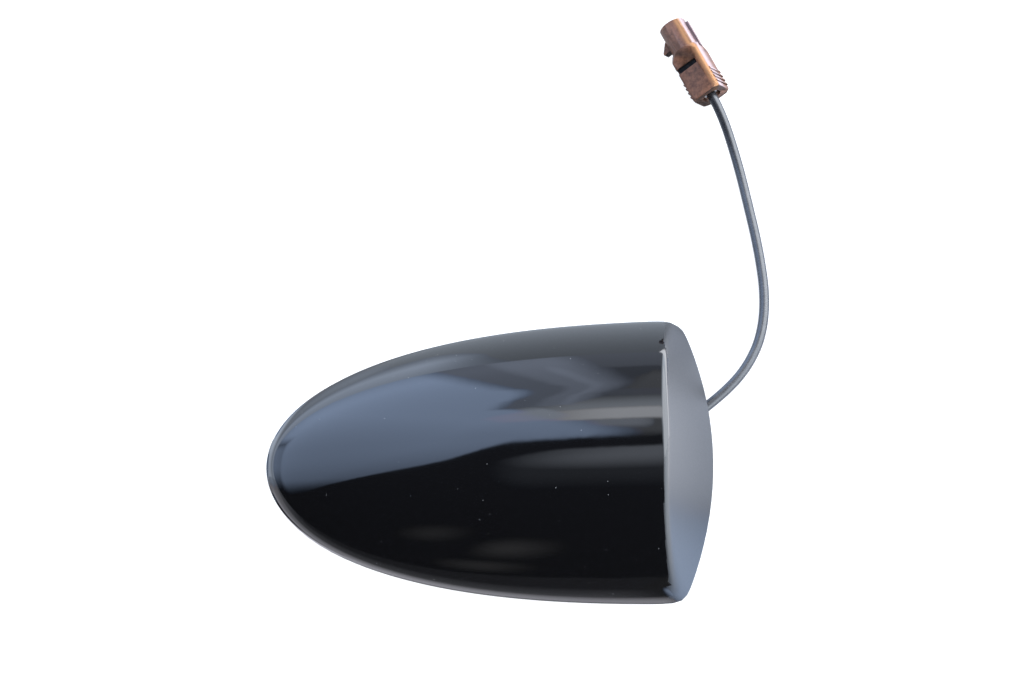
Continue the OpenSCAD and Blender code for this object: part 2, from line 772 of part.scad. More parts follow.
// Sprung tube with a collar behind the bore and four slits at its mouth
module plug_outer_contact() {
    slit_w = 0.4;
    slit_l = 5;
    color([0.8, 0.78, 0.7])
    at_plug()
        difference() {
            union() {
                translate([0, 0, socket_depth])
                    cylinder(r = contact_r, h = contact_front - socket_depth);
                translate([0, 0, contact_collar_z])
                    cylinder(r = contact_r + fit_gap - snug_gap, h = 1);
            }
            translate([0, 0, socket_depth - overlap])
                cylinder(r = contact_r - contact_wall, h = plug_l);
            for (turn = [0, 90])
                rotate(turn)
                    translate([-plug_side / 2, -slit_w / 2, contact_front - slit_l])
                        cube([plug_side, slit_w, slit_l + overlap]);
        }
}
module plug_insulator() {
    insulator_rear = socket_depth + 1;
    insulator_l = contact_front - insulator_rear - 1.5;
    color([0.92, 0.92, 0.9])
    at_plug()
        translate([0, 0, insulator_rear])
            difference() {
                cylinder(r = contact_r - contact_wall - snug_gap, h = insulator_l);
                translate([0, 0, -overlap])
                    cylinder(r = pin_r + snug_gap, h = plug_l);
            }
}
module plug_centre_pin() {
    pin_l = contact_front - cable_end_z - 1;
    color([0.85, 0.7, 0.35])
    at_plug()
        translate([0, 0, cable_end_z])
            rotate_extrude()
                polygon([[0, 0], [pin_r, 0], [pin_r, pin_l - pin_r], [pin_r / 2, pin_l], [0, pin_l]]);
}
// Six-sided crimp on the cable's braid, against the rear of the outer contact
module plug_crimp_ferrule() {
    ferrule_z = 1;
    color([0.75, 0.75, 0.75])
    at_plug()
        translate([0, 0, ferrule_z])
            difference() {
                union() {
                    cylinder(r = ferrule_r, h = socket_depth - ferrule_z, $fn = 6);
                    translate([0, 0, socket_depth - ferrule_z - 1])
                        cylinder(r = ferrule_r, h = 1);
                }
                translate([0, 0, -overlap])
                    cylinder(r = cable_r + snug_gap, h = plug_l);
            }
}

radome();
base_plate();
roof_boss();
roof_seal();
inner_seal();
circuit_board();
ceramic_patch();
patch_tape();
feed_pin();
shield_can();
board_components();
cable_clip();
board_screws();
radome_screws();
coax_tail();
cable_grommet();
coax_lead();
plug_housing();
plug_lock();
plug_outer_contact();
plug_insulator();
plug_centre_pin();
plug_crimp_ferrule();
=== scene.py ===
import json
import math

import bpy
import numpy as np
from mathutils import Matrix, Vector

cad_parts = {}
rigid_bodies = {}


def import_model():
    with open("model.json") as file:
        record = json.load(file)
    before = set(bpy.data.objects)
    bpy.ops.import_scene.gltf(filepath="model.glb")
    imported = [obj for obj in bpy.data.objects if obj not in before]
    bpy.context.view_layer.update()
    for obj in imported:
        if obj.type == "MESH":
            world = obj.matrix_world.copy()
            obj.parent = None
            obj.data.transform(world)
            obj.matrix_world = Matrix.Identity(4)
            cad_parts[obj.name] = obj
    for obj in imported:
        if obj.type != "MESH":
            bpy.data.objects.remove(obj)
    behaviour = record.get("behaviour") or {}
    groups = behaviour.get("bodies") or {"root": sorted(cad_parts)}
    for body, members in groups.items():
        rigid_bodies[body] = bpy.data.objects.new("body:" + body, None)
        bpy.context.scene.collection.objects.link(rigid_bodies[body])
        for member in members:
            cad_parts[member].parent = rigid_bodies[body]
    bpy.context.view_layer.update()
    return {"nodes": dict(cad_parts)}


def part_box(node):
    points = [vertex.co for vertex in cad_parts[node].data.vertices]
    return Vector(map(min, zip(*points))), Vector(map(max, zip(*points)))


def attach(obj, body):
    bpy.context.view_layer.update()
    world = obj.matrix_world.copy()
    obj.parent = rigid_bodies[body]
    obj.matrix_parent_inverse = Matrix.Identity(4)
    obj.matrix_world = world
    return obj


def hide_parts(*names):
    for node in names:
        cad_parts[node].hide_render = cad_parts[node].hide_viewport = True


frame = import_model()

MM = 0.001


# Camera: a close product shot, from almost straight above and rolled to lay the nose to the left

IMAGE_W = 1024
FOCAL_PX = 2036.0
SENSOR_MM = 36.0
LOOK_AT = Vector((1.03, 36.87, 12.0))
CAMERA_AWAY = 600.0
CAMERA_HEADING = math.radians(18.45)
CAMERA_TILT = math.radians(70.0)
CAMERA_ROLL = math.radians(-18.77)


def aim_camera():
    flat = math.cos(CAMERA_TILT)
    back = Vector((math.sin(CAMERA_HEADING) * flat, -math.cos(CAMERA_HEADING) * flat, math.sin(CAMERA_TILT)))
    level = Vector((math.cos(CAMERA_HEADING), math.sin(CAMERA_HEADING), 0.0))
    rise = back.cross(level)
    right = level * math.cos(CAMERA_ROLL) + rise * math.sin(CAMERA_ROLL)
    top = back.cross(right)
    turn = Matrix((right, top, back)).transposed().to_4x4()
    data = bpy.data.cameras.new("product_camera")
    data.sensor_width = SENSOR_MM
    data.sensor_fit = "HORIZONTAL"
    data.lens = FOCAL_PX * SENSOR_MM / IMAGE_W
    data.clip_start = 0.05
    data.clip_end = 20.0
    camera = bpy.data.objects.new("product_camera", data)
    camera.matrix_world = Matrix.Translation(LOOK_AT * MM + back * (CAMERA_AWAY * MM)) @ turn
    bpy.context.scene.collection.objects.link(camera)
    bpy.context.scene.camera = camera


aim_camera()


# Coax lead: the same route as the solid's, out of the grommet, along the table and up into the plug

CABLE_R = 1.5
# mm, from the grommet under the cover to just before the plug, where lay_lead adds two more points
LEAD_ROUTE = [
    (22.475, 8.5, 6.025), (24, 8.5, 4.5), (26, 8.5, 2.9), (28.5, 8.6, 2), (31.5, 8.8, 1.5),
    (36, 9.4, 1.5), (41, 10.6, 1.5), (46, 12.4, 1.5), (51, 14.9, 1.5), (55.3, 17.7, 1.5),
    (59.4, 20.9, 1.5), (63.6, 24.6, 1.5), (67.5, 28.8, 1.5), (70.9, 33.9, 1.5), (73.5, 39.9, 1.5),
    (75, 47.2, 1.5), (75.3, 55.2, 1.5), (74.6, 63.5, 1.5), (73.2, 73, 1.5), (71.3, 83, 1.5),
    (69.5, 92, 1.6), (67.5, 100.3, 2.4), (65.3, 107.8, 4), (63.1, 113.6, 5.4)]
PLUG_REAR = Vector((61.1, 117.8, 6.112))
PLUG_HEADING = math.radians(115.9)
PLUG_ROLL = math.radians(27.0)
PLUG_WAY = Vector((math.cos(PLUG_HEADING), math.sin(PLUG_HEADING), 0.0))
CABLE_END = 5.0   # mm, how far the jacket reaches into the plug
MEASURED_STEPS = 12


def new_object(name, data):
    piece = bpy.data.objects.new(name, data)
    bpy.context.scene.collection.objects.link(piece)
    return piece


def lay_lead():
    """The jacket as one smooth curve through the route's points, and its length in metres."""
    points = [Vector(p) for p in LEAD_ROUTE] + [PLUG_REAR, PLUG_REAR + PLUG_WAY * CABLE_END]
    curve = bpy.data.curves.new("coax_jacket", "CURVE")
    curve.dimensions = "3D"
    curve.resolution_u = 10
    curve.bevel_depth = CABLE_R * MM
    curve.bevel_resolution = 8
    curve.use_fill_caps = True
    spline = curve.splines.new("BEZIER")
    spline.bezier_points.add(len(points) - 1)
    last = len(points) - 1
    for i, (knot, point) in enumerate(zip(spline.bezier_points, points)):
        pull = (points[min(i + 1, last)] - points[max(i - 1, 0)]) / 6
        knot.co = point * MM
        knot.handle_left = (point - pull) * MM
        knot.handle_right = (point + pull) * MM
    lead = new_object("coax_jacket", curve)
    length = 0.0
    shares = [k / MEASURED_STEPS for k in range(MEASURED_STEPS + 1)]
    for a, b in zip(spline.bezier_points, spline.bezier_points[1:]):
        steps = [a.co * (1 - t) ** 3 + a.handle_right * 3 * t * (1 - t) ** 2
                 + b.handle_left * 3 * t * t * (1 - t) + b.co * t ** 3 for t in shares]
        length += sum((q - p).length for p, q in zip(steps, steps[1:]))
    return lead, length


lead, lead_length = lay_lead()


# Finishes

def srgb(code):
    """Linear colour of an sRGB hex value."""
    parts = [int(code[i:i + 2], 16) / 255 for i in (1, 3, 5)]
    return [c / 12.92 if c <= 0.04045 else ((c + 0.055) / 1.055) ** 2.4 for c in parts] + [1.0]


def add(tree, kind, inputs=None, **settings):
    """A node with its settings, and its inputs linked or set."""
    node = tree.nodes.new(kind)
    for name, value in settings.items():
        setattr(node, name, value)
    for key, value in (inputs or {}).items():
        if isinstance(value, bpy.types.Node):
            value = value.outputs[0]
        if isinstance(value, bpy.types.NodeSocket):
            tree.links.new(value, node.inputs[key])
        else:
            node.inputs[key].default_value = value
    return node


def new_material(name):
    material = bpy.data.materials.new(name)
    material.use_nodes = True
    material.node_tree.nodes.clear()
    return material, material.node_tree


def close_material(tree, shader):
    add(tree, "ShaderNodeOutputMaterial", {"Surface": shader})


def gloss_black_abs():
    """Polished moulded black plastic: mirror-like, faintly wavy, with a few dust specks and handling haze."""
    material, tree = new_material("gloss_black_abs")
    place = add(tree, "ShaderNodeTexCoord").outputs["Object"]
    haze = add(tree, "ShaderNodeTexNoise", {"Vector": place, "Scale": 1 / (14 * MM), "Detail": 4.0})
    rough = add(tree, "ShaderNodeMapRange", {
        "Value": haze, "From Min": 0.4, "From Max": 0.7, "To Min": 0.04, "To Max": 0.065})
    cells = add(tree, "ShaderNodeTexVoronoi", {"Vector": place, "Scale": 1 / (1.2 * MM)})
    chosen = add(tree, "ShaderNodeMapRange", {
        "Value": cells.outputs["Color"], "From Min": 0.74, "From Max": 0.9, "To Min": 0.0, "To Max": 0.085})
    speck = add(tree, "ShaderNodeMath", {0: cells.outputs["Distance"], 1: chosen}, operation="LESS_THAN")
    colour = add(tree, "ShaderNodeMixRGB", {
        "Fac": speck, "Color1": srgb("#060607"), "Color2": srgb("#7f7e7b")})
    waves = add(tree, "ShaderNodeTexNoise", {"Vector": place, "Scale": 1 / (3.2 * MM), "Detail": 1.0})
    bump = add(tree, "ShaderNodeBump", {"Height": waves, "Strength": 0.3, "Distance": 0.012 * MM})
    close_material(tree, add(tree, "ShaderNodeBsdfPrincipled", {
        "Base Color": colour, "Roughness": rough, "IOR": 1.5, "Normal": bump}))
    return material


def satin_black_abs():
    """The same plastic from a finely eroded part of the mould: it blurs what it mirrors."""
    material, tree = new_material("satin_black_abs")
    place = add(tree, "ShaderNodeTexCoord").outputs["Object"]
    grit = add(tree, "ShaderNodeTexNoise", {"Vector": place, "Scale": 1 / (0.35 * MM), "Detail": 2.0})
    rough = add(tree, "ShaderNodeMapRange", {
        "Value": grit, "From Min": 0.3, "From Max": 0.7, "To Min": 0.36, "To Max": 0.42})
    bump = add(tree, "ShaderNodeBump", {"Height": grit, "Strength": 0.25, "Distance": 0.01 * MM})
    close_material(tree, add(tree, "ShaderNodeBsdfPrincipled", {
        "Base Color": srgb("#0a0a0b"), "Roughness": rough, "IOR": 1.5, "Normal": bump}))
    return material


def moulded_plastic(name, dark, light, patch, roughness, grain=0.25, streak=1.0, index=1.5):
    """Moulded plastic or rubber: cloudy between two tones, in patches of a size in mm, over a fine grain. It
    looks deeper and duller the lower its index is."""
    material, tree = new_material(name)
    place = add(tree, "ShaderNodeTexCoord").outputs["Object"]
    drawn = add(tree, "ShaderNodeMapping", {"Vector": place, "Scale": (1.0, 1.0, streak)})
    cloud = add(tree, "ShaderNodeTexNoise", {
        "Vector": drawn, "Scale": 1 / (patch * MM), "Detail": 5.0, "Roughness": 0.6})
    share = add(tree, "ShaderNodeMapRange", {"Value": cloud, "From Min": 0.32, "From Max": 0.68})
    colour = add(tree, "ShaderNodeMixRGB", {"Fac": share, "Color1": srgb(dark), "Color2": srgb(light)})
    fine = add(tree, "ShaderNodeTexNoise", {"Vector": place, "Scale": 1 / (grain * MM), "Detail": 2.0})
    rough = add(tree, "ShaderNodeMapRange", {
        "Value": fine, "From Min": 0.3, "From Max": 0.7,
        "To Min": roughness - 0.05, "To Max": roughness + 0.07})
    bump = add(tree, "ShaderNodeBump", {"Height": fine, "Strength": 0.4, "Distance": 0.03 * MM})
    close_material(tree, add(tree, "ShaderNodeBsdfPrincipled", {
        "Base Color": colour, "Roughness": rough, "IOR": index, "Normal": bump}))
    return material


def worked_metal(name, dark, light, roughness, grain, along=(1.0, 1.0, 1.0), depth=0.02):
    """Bare or plated metal: tone and gloss vary with the grain that casting, rolling or turning left."""
    material, tree = new_material(name)
    place = add(tree, "ShaderNodeTexCoord").outputs["Object"]
    drawn = add(tree, "ShaderNodeMapping", {"Vector": place, "Scale": along})
    fine = add(tree, "ShaderNodeTexNoise", {
        "Vector": drawn, "Scale": 1 / (grain * MM), "Detail": 4.0, "Roughness": 0.65})
    stain = add(tree, "ShaderNodeTexNoise", {"Vector": place, "Scale": 1 / (9 * MM), "Detail": 3.0})
    both = add(tree, "ShaderNodeMath", {0: fine, 1: stain}, operation="MULTIPLY")
    share = add(tree, "ShaderNodeMapRange", {"Value": both, "From Min": 0.14, "From Max": 0.36})
    colour = add(tree, "ShaderNodeMixRGB", {"Fac": share, "Color1": srgb(dark), "Color2": srgb(light)})
    rough = add(tree, "ShaderNodeMapRange", {
        "Value": stain, "From Min": 0.3, "From Max": 0.7,
        "To Min": roughness - 0.07, "To Max": roughness + 0.09})
    bump = add(tree, "ShaderNodeBump", {"Height": fine, "Strength": 0.5, "Distance": depth * MM})
    close_material(tree, add(tree, "ShaderNodeBsdfPrincipled", {
        "Base Color": colour, "Metallic": 1.0, "Roughness": rough, "Normal": bump}))
    return material


def moulded_brown_pbt():
    """Brown glass-filled polyester: mottled; a painted orange highlight along its upper ridge, a painted
    pinkish grey lit side beyond it, and painted shade on the face where the cable goes in, which is also
    matt."""
    material, tree = new_material("moulded_brown_pbt")
    place = add(tree, "ShaderNodeTexCoord").outputs["Object"]
    side = Vector((math.sin(PLUG_HEADING), -math.cos(PLUG_HEADING), 0.0))
    lean = math.radians(45.0) - PLUG_ROLL
    spread = side * math.cos(lean) - Vector((0.0, 0.0, math.sin(lean)))
    from_rear = add(tree, "ShaderNodeVectorMath", {0: place, 1: tuple(-PLUG_REAR * MM)}, operation="ADD")
    off_ridge = add(tree, "ShaderNodeVectorMath", {
        0: from_rear, 1: tuple(spread / MM)}, operation="DOT_PRODUCT").outputs["Value"]
    rise = add(tree, "ShaderNodeSeparateXYZ", {0: from_rear}).outputs[2]
    upper = add(tree, "ShaderNodeMapRange", {"Value": rise, "From Min": 0.5 * MM, "From Max": 3.5 * MM})
    cloud = add(tree, "ShaderNodeTexNoise", {
        "Vector": place, "Scale": 1 / (1.3 * MM), "Detail": 5.0, "Roughness": 0.7})
    share = add(tree, "ShaderNodeMapRange", {"Value": cloud, "From Min": 0.34, "From Max": 0.66})
    brown = add(tree, "ShaderNodeMixRGB", {
        "Fac": share, "Color1": srgb("#432a1d"), "Color2": srgb("#6b4734")})
    # painted light: past the ridge the upper faces turn pinkish grey, a painted lit side
    beyond = add(tree, "ShaderNodeMapRange", {"Value": off_ridge, "From Min": 0.5, "From Max": 1.3})
    beyond = add(tree, "ShaderNodeMath", {0: beyond, 1: upper}, operation="MULTIPLY")
    painted_lit_side = add(tree, "ShaderNodeMixRGB", {"Fac": beyond, "Color1": brown, "Color2": srgb("#8a7878")})
    # painted highlight: an orange band along the upper ridge
    ridge = add(tree, "ShaderNodeMapRange", {
        "Value": add(tree, "ShaderNodeMath", {0: off_ridge}, operation="ABSOLUTE"),
        "From Min": 1.3, "From Max": 0.3, "To Max": 0.8})
    ridge = add(tree, "ShaderNodeMath", {0: ridge, 1: upper}, operation="MULTIPLY")
    colour = add(tree, "ShaderNodeMixRGB", {"Fac": ridge, "Color1": painted_lit_side, "Color2": srgb("#96683e")})
    # painted shade: the face where the cable goes in is darkened; it is also made rougher, which is real
    facing = add(tree, "ShaderNodeVectorMath", {
        0: add(tree, "ShaderNodeNewGeometry").outputs["Normal"],
        1: tuple(-PLUG_WAY)}, operation="DOT_PRODUCT")
    end_face_shade_and_matt = add(tree, "ShaderNodeMapRange", {
        "Value": facing.outputs["Value"], "From Min": 0.8, "From Max": 0.95, "To Max": 0.8})
    colour = add(tree, "ShaderNodeMixRGB", {"Fac": end_face_shade_and_matt, "Color1": colour, "Color2": srgb("#20150f")})
    fine = add(tree, "ShaderNodeTexNoise", {"Vector": place, "Scale": 1 / (0.25 * MM), "Detail": 2.0})
    rough = add(tree, "ShaderNodeMapRange", {
        "Value": fine, "From Min": 0.3, "From Max": 0.7, "To Min": 0.36, "To Max": 0.5})
    rough = add(tree, "ShaderNodeMix", {"Factor": end_face_shade_and_matt, "A": rough, "B": 1.0})
    bump = add(tree, "ShaderNodeBump", {"Height": fine, "Strength": 0.4, "Distance": 0.03 * MM})
    close_material(tree, add(tree, "ShaderNodeBsdfPrincipled", {
        "Base Color": colour, "Roughness": rough, "IOR": 1.32, "Normal": bump}))
    return material


def pvc_jacket(name):
    """Extruded black PVC: semi-gloss, greyed here and there by a bloom, its skin faintly uneven."""
    material, tree = new_material(name)
    place = add(tree, "ShaderNodeTexCoord").outputs["Object"]
    bloom = add(tree, "ShaderNodeTexNoise", {"Vector": place, "Scale": 1 / (2.2 * MM), "Detail": 4.0})
    share = add(tree, "ShaderNodeMapRange", {"Value": bloom, "From Min": 0.35, "From Max": 0.7})
    colour = add(tree, "ShaderNodeMixRGB", {
        "Fac": share, "Color1": srgb("#1c1c1e"), "Color2": srgb("#2a2a2c")})
    fine = add(tree, "ShaderNodeTexNoise", {"Vector": place, "Scale": 1 / (0.4 * MM), "Detail": 3.0})
    rough = add(tree, "ShaderNodeMapRange", {
        "Value": fine, "From Min": 0.3, "From Max": 0.7, "To Min": 0.2, "To Max": 0.32})
    bump = add(tree, "ShaderNodeBump", {"Height": fine, "Strength": 0.35, "Distance": 0.03 * MM})
    close_material(tree, add(tree, "ShaderNodeBsdfPrincipled", {
        "Base Color": colour, "Roughness": rough, "IOR": 1.52, "Normal": bump}))
    return material


def solder_mask_board():
    """Green solder mask over etched copper: paler tracks under it, the glass cloth showing faintly."""
    material, tree = new_material("solder_mask_board")
    place = add(tree, "ShaderNodeTexCoord").outputs["Object"]
    tracks = add(tree, "ShaderNodeTexBrick", {
        "Vector": place, "Scale": 1 / (9 * MM), "Mortar Size": 0.035, "Mortar Smooth": 0.1,
        "Brick Width": 0.7, "Row Height": 0.22,
        "Color1": srgb("#123a24"), "Color2": srgb("#16452b"), "Mortar": srgb("#2f6b3f")})
    cloth = add(tree, "ShaderNodeTexBrick", {
        "Vector": place, "Scale": 1 / (1.1 * MM), "Mortar Size": 0.06, "Brick Width": 0.5, "Row Height": 0.5})
    holes = add(tree, "ShaderNodeTexVoronoi", {"Vector": place, "Scale": 1 / (3.1 * MM)})
    via = add(tree, "ShaderNodeMath", {0: holes.outputs["Distance"], 1: 0.1}, operation="LESS_THAN")
    colour = add(tree, "ShaderNodeMixRGB", {"Fac": via, "Color1": tracks, "Color2": srgb("#a98d55")})
    bump = add(tree, "ShaderNodeBump", {
        "Height": cloth.outputs["Fac"], "Strength": 0.3, "Distance": 0.02 * MM})
    close_material(tree, add(tree, "ShaderNodeBsdfPrincipled", {
        "Base Color": colour, "Roughness": 0.36, "IOR": 1.5, "Normal": bump}))
    return material


SILVER_INSET = 1.5   # mm, the bare edge round the electrode


def silvered_ceramic():
    """Cream dielectric ceramic with a fired silver electrode on its top face, inset from the edges."""
    material, tree = new_material("silvered_ceramic")
    low, high = (Vector(corner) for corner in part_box("ceramic_patch"))
    place = add(tree, "ShaderNodeTexCoord").outputs["Object"]
    plate_half = (high.x - low.x) / 2 - SILVER_INSET * MM
    across = add(tree, "ShaderNodeVectorMath", {0: place, 1: tuple(-(low + high) / 2)}, operation="ADD")
    across = add(tree, "ShaderNodeVectorMath", {0: across}, operation="ABSOLUTE")
    parts = add(tree, "ShaderNodeSeparateXYZ", {0: across})
    reach = add(tree, "ShaderNodeMath", {0: parts.outputs[0], 1: parts.outputs[1]}, operation="MAXIMUM")
    inside = add(tree, "ShaderNodeMath", {0: reach, 1: plate_half}, operation="LESS_THAN")
    top = add(tree, "ShaderNodeSeparateXYZ", {0: add(tree, "ShaderNodeNewGeometry").outputs["Normal"]})
    facing = add(tree, "ShaderNodeMath", {0: top.outputs[2], 1: 0.9}, operation="GREATER_THAN")
    silver = add(tree, "ShaderNodeMath", {0: inside, 1: facing}, operation="MULTIPLY")
    grain = add(tree, "ShaderNodeTexNoise", {"Vector": place, "Scale": 1 / (0.5 * MM), "Detail": 4.0})
    body = add(tree, "ShaderNodeMixRGB", {
        "Fac": grain, "Color1": srgb("#b9b09a"), "Color2": srgb("#d8d2c0")})
    plate = add(tree, "ShaderNodeMixRGB", {
        "Fac": grain, "Color1": srgb("#b8b8b4"), "Color2": srgb("#dcdcd8")})
    colour = add(tree, "ShaderNodeMixRGB", {"Fac": silver, "Color1": body, "Color2": plate})
    bump = add(tree, "ShaderNodeBump", {"Height": grain, "Strength": 0.3, "Distance": 0.02 * MM})
    close_material(tree, add(tree, "ShaderNodeBsdfPrincipled", {
        "Base Color": colour, "Metallic": silver, "Roughness": 0.42, "Normal": bump}))
    return material


def foam_tape():
    """White closed-cell foam: matt, with small bubbles along its cut edges."""
    material, tree = new_material("closed_cell_foam")
    place = add(tree, "ShaderNodeTexCoord").outputs["Object"]
    bubbles = add(tree, "ShaderNodeTexVoronoi", {"Vector": place, "Scale": 1 / (0.4 * MM)})
    colour = add(tree, "ShaderNodeMixRGB", {
        "Fac": bubbles.outputs["Distance"], "Color1": srgb("#c9c5b8"), "Color2": srgb("#eeebe2")})
    bump = add(tree, "ShaderNodeBump", {
        "Height": bubbles.outputs["Distance"], "Strength": 0.6, "Distance": 0.08 * MM})
    close_material(tree, add(tree, "ShaderNodeBsdfPrincipled", {
        "Base Color": colour, "Roughness": 0.85, "Normal": bump}))
    return material


# Cover: the moulded dome. Its form is given by rays from a point inside its foot: each runs until it leaves
# the side, the crown or the cut-off rear, whichever comes first. All in mm, x counted from the nose.

COVER_LEN, COVER_W, COVER_H, NOSE_REACH = 130.0, 83.2, 31.0, 70.0
NOSE_FOOT, REAR_FOOT, FOOT_LEAN = 4.0, 7.0, math.tan(math.radians(7))
REAR_LEAN, REAR_SAG, FLANK_LEN = math.tan(math.radians(22)), 8.9, 123.5
SEAL_T, COVER_Z, WALL = 1.5, 13.5, 2.2
PLAN_ROUNDING, PLAN_FULLNESS = 2.55, 0.476
RIDGE_ROUNDING, RIDGE_FULLNESS = 2.0, 0.68
CROWN_POWER = 2.5
SHOULDER_SHARP, CORNER_SHARP, CREASE_SHARP = 80.0, 34.0, 70.0
SHOULDER_TIP, CREASE_HALF, TIP_W = 82.0, 4.0, 8.0
LONGEST_RAY = 110.0
CREASE_RANGE = (math.radians(20), math.radians(86))


def swell(share, rounding, fullness):
    """How a plan or a profile fills out: 0 at its start, 1 at its full size."""
    return (1 - np.maximum(0, 1 - share) ** rounding) ** fullness


def half_width(x):
    grown = swell(np.maximum(x, 0) / FLANK_LEN, PLAN_ROUNDING, PLAN_FULLNESS)
    return np.where(x <= 0, 0, COVER_W / 2 * grown)


def foot_height(x):
    """The almost upright band along the cover's lower edge."""
    return NOSE_FOOT + (REAR_FOOT - NOSE_FOOT) * x / COVER_LEN


def ridge_height(x):
    grown = swell(np.maximum(0, x) / COVER_LEN, RIDGE_ROUNDING, RIDGE_FULLNESS)
    return foot_height(x) + (COVER_H - foot_height(x)) * grown


def crown_height(x, y):
    out = np.abs(y) / np.maximum(TIP_W, half_width(x) - foot_height(x) * FOOT_LEAN)
    return foot_height(x) + (ridge_height(x) - foot_height(x)) * (1 - out ** CROWN_POWER)


def halved(inside, count, rounds=34):
    """How far each ray stays inside, found by halving."""
    near, far = np.zeros(count), np.full(count, LONGEST_RAY)
    for _ in range(rounds):
        mid = (near + far) / 2
        within = inside(mid)
        near, far = np.where(within, mid, near), np.where(within, far, mid)
    return (near + far) / 2


def side_reach(way):
    def within(run):
        wide = half_width(NOSE_REACH + way[:, 0] * run) - (SEAL_T + way[:, 2] * run) * FOOT_LEAN
        return np.abs(way[:, 1]) * run < wide
    return halved(within, len(way))


def crown_reach(way):
    def within(run):
        return SEAL_T + way[:, 2] * run < crown_height(NOSE_REACH + way[:, 0] * run, way[:, 1] * run)
    return halved(within, len(way))


def rear_reach(way):
    """The rear face leans forward and is hollowed across its width."""
    bow = REAR_SAG * way[:, 1] ** 2 / (COVER_W / 2) ** 2
    gain = way[:, 0] + way[:, 2] * REAR_LEAN
    room = COVER_LEN - NOSE_REACH - SEAL_T * REAR_LEAN
    return 2 * room / np.maximum(0.001, gain + np.sqrt(gain ** 2 + 4 * bow * room))


def rounded(a, b, sharp):
    """The nearer of two reaches, rounded off where they meet."""
    return a * (1 + (a / b) ** sharp) ** (-1 / sharp)


def dome_reach(way):
    return rounded(side_reach(way), crown_reach(way), SHOULDER_SHARP)


def cover_reach(way):
    sharp = CORNER_SHARP + (CREASE_SHARP - CORNER_SHARP) * np.minimum(1, 2 * way[:, 2])
    return rounded(dome_reach(way), rear_reach(way), sharp)


def ways(turn, tip):
    """Directions, by their turn about the upright axis and their tip away from it."""
    return np.stack([np.cos(turn) * np.sin(tip), np.sin(turn) * np.sin(tip), np.cos(tip)], 1)


def crease_tips(turn, rounds=24):
    """Where the crown meets the rear face, as a tip for each turn; the shoulder's tip all round the rest."""
    near, far = np.full(len(turn), CREASE_RANGE[0]), np.full(len(turn), CREASE_RANGE[1])
    for _ in range(rounds):
        mid = (near + far) / 2
        way = ways(turn, mid)
        within = dome_reach(way) < rear_reach(way)
        near, far = np.where(within, mid, near), np.where(within, far, mid)
    return np.minimum((near + far) / 2, math.radians(SHOULDER_TIP))


def mould_cover(columns=288, top_rows=64, crease_rows=28, side_rows=26):
    """The outer skin, with rows crowded over the crease, and a wall of even thickness inside it."""
    turn = np.arange(columns) * 2 * math.pi / columns
    knee, half = crease_tips(turn), math.radians(CREASE_HALF)
    tips = [(knee - half) * i / top_rows for i in range(1, top_rows + 1)]
    tips += [knee - half + 2 * half * i / crease_rows for i in range(1, crease_rows + 1)]
    tips += [knee + half + (math.pi / 2 - knee - half) * i / side_rows for i in range(1, side_rows + 1)]
    rows = [ways(turn, tip) for tip in tips]
    rows = [way * cover_reach(way)[:, None] + (0, 0, COVER_Z) for way in rows]
    top = ways(np.zeros(1), np.zeros(1))
    top = top * cover_reach(top)[:, None] + (0, 0, COVER_Z)
    points = np.concatenate([top] + rows) * MM
    faces = [(0, 1 + i, 1 + (i + 1) % columns) for i in range(columns)]
    for row in range(len(rows) - 1):
        start = 1 + row * columns
        for i in range(columns):
            j = (i + 1) % columns
            faces.append((start + i, start + columns + i, start + columns + j, start + j))
    mesh = bpy.data.meshes.new("radome_skin")
    mesh.from_pydata(points.tolist(), [], faces)
    cover = new_object("radome_skin", mesh)
    wall = cover.modifiers.new("wall", "SOLIDIFY")
    wall.thickness = WALL * MM
    wall.offset = -1.0
    apply_modifiers(cover)
    return cover


def pick_only(piece):
    for other in bpy.context.view_layer.objects:
        other.select_set(False)
    piece.select_set(True)
    bpy.context.view_layer.objects.active = piece


def apply_modifiers(piece):
    pick_only(piece)
    for modifier in list(piece.modifiers):
        bpy.ops.object.modifier_apply(modifier=modifier.name)


def smooth(piece, degrees=35):
    pick_only(piece)
    bpy.ops.object.shade_smooth_by_angle(angle=math.radians(degrees))


def finish_piece(piece, material, slot, *nodes):
    piece.data.materials.clear()
    piece.data.materials.append(material)
    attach(piece, "root")
    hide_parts(*nodes)


def dressed_copy(node, name, bevel, segments=2):
    """The CAD node's mesh, merged, with its flat faces whole again and its edges rounded."""
    piece = new_object(name, frame["nodes"][node].data.copy())
    pick_only(piece)
    bpy.ops.object.mode_set(mode="EDIT")
    bpy.ops.mesh.select_all(action="SELECT")
    bpy.ops.mesh.remove_doubles(threshold=1e-6)
    bpy.ops.mesh.dissolve_limited(angle_limit=math.radians(2))
    bpy.ops.object.mode_set(mode="OBJECT")
    round_off = piece.modifiers.new("edges", "BEVEL")
    round_off.width = bevel * MM
    round_off.segments = segments
    round_off.limit_method = "ANGLE"
    round_off.angle_limit = math.radians(30)
    apply_modifiers(piece)
    smooth(piece)
    return piece


# along the rear edge in mm: the middle of its polished stretch, half its length, and how far the satin creeps
POLISHED_MIDDLE, POLISHED_HALF, POLISHED_FADE = 11.0, 12.0, 7.0
# the least x of a satin face's normal: where the rounding stays polished, and past the ends of that stretch
STEEP, GENTLE = 0.86, 0.2
REAR_END = 45.0   # mm, the x past which a face can belong to the cut-off rear


def face_satin(piece, slot_index):
    """The cut-off rear face takes the satin finish. Over a stretch of its upper edge the rounding stays
    polished, and past both ends of that stretch the satin creeps over the rounding."""
    for face in piece.data.polygons:
        past_end = abs(face.center.y / MM - POLISHED_MIDDLE) - POLISHED_HALF
        limit = max(GENTLE, min(STEEP, STEEP - (STEEP - GENTLE) * past_end / POLISHED_FADE))
        if face.normal.x > limit and face.center.x > REAR_END * MM:
            face.material_index = slot_index


